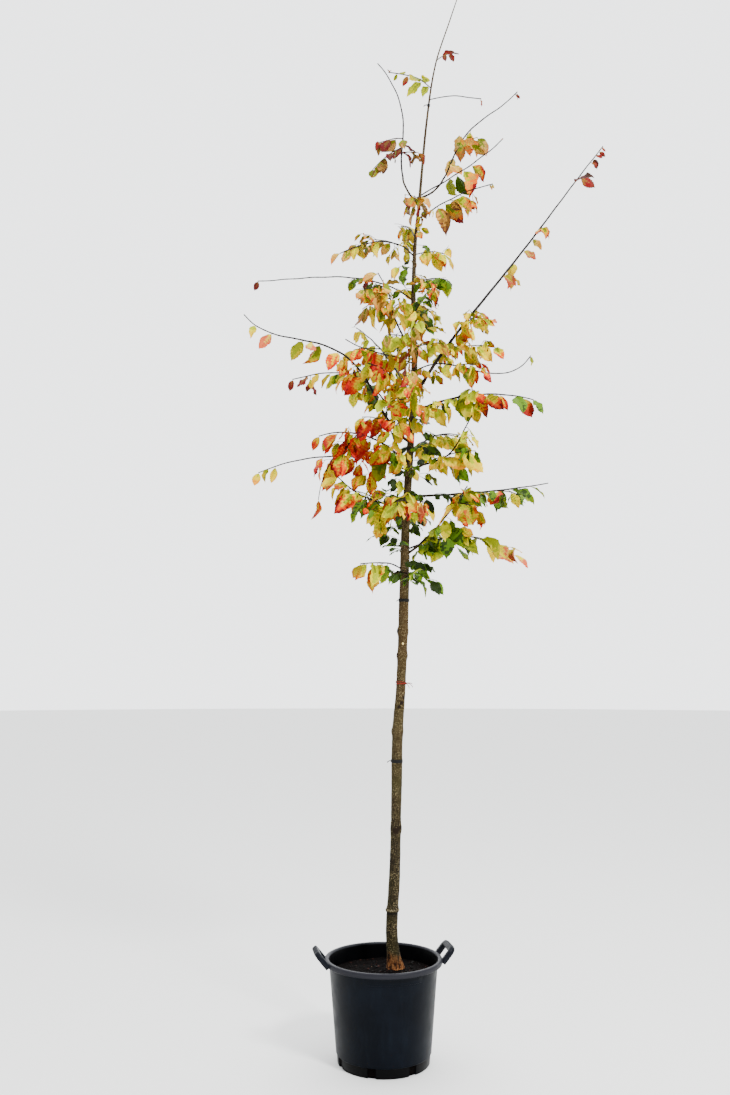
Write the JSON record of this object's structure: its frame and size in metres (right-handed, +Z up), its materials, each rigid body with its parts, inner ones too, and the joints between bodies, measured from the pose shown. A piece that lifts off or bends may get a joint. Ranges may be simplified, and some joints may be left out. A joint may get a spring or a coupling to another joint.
{
  "type": "persian ironwood tree, young feathered tree in a nursery container",
  "caption": "Young persian ironwood in autumn leaf: one slender stem with thin side shoots, standing in a round two-handled nursery pot.",
  "frame": {"origin": "centre of the pot's flat underside", "axes": "+Z up along the stem, -Y towards the front of the picture, +X to its right"},
  "size_m": [1.4538, 0.8733, 4.2005],
  "materials": {
    "pot_plastic": "semi-matt, dark blue-grey, lightly scuffed",
    "soil": "moist dark bark and peat mix",
    "bark": "olive grey-brown bark with pale spots",
    "tie_rubber": "matt black",
    "twine": "faded red twine",
    "leaves_green": "satin leaf, green turning",
    "leaves_gold": "satin leaf, yellow",
    "leaves_red": "satin leaf, red and orange",
    "leaves_bronze": "satin leaf, bronze"
  },
  "bodies": {
    "root": {"bough_back_long": "bark", "bough_left_arch": "bark", "bough_left_cluster": "bark", "bough_left_low": "bark", "bough_left_red": "bark", "bough_left_top": "bark", "bough_long_right": "bark", "bough_long_shoot": "bark", "bough_low_right": "bark", "bough_right_fork": "bark", "bough_right_mid": "bark", "bough_right_top_a": "bark", "foliage_back_high": "leaves_bronze", "foliage_back_long": "leaves_gold", "foliage_back_low": "leaves_green", "foliage_back_mid": "leaves_gold", "foliage_back_upper": "leaves_bronze", "foliage_front_high": "leaves_bronze", "foliage_front_low": "leaves_gold", "foliage_front_mid": "leaves_gold", "foliage_front_neck": "leaves_bronze", "foliage_front_upper": "leaves_green", "foliage_leader_tuft": "leaves_red", "foliage_left_arch": "leaves_gold", "foliage_left_arch_low": "leaves_gold", "foliage_left_cluster": "leaves_bronze", "foliage_left_far": "leaves_red", "foliage_left_front": "leaves_gold", "foliage_left_high": "leaves_bronze", "foliage_left_low": "leaves_gold", "foliage_left_red": "leaves_red", "foliage_left_rise": "leaves_gold", "foliage_left_thin": "leaves_red", "foliage_left_top": "leaves_bronze", "foliage_left_wire": "leaves_bronze", "foliage_long_right": "leaves_green", "foliage_long_shoot": "leaves_gold", "foliage_low_front": "leaves_green", "foliage_low_left": "leaves_gold", "foliage_low_right": "leaves_gold", "foliage_low_right_arch": "leaves_green", "foliage_right_fork": "leaves_gold", "foliage_right_gold": "leaves_gold", "foliage_right_high_green": "leaves_green", "foliage_right_mid": "leaves_red", "foliage_right_thin": "leaves_gold", "foliage_right_top_a": "leaves_gold", "foliage_right_top_b": "leaves_gold", "foliage_right_top_low": "leaves_bronze", "foliage_top_left": "leaves_bronze", "foliage_top_right": "leaves_bronze", "pot": "pot_plastic", "soil": "soil", "tie_crown_low": "tie_rubber", "tie_crown_middle": "tie_rubber", "tie_leader": "tie_rubber", "tie_lower": "tie_rubber", "tie_middle": "tie_rubber", "trunk": "bark", "twine": "twine"}
  },
  "joints": []
}
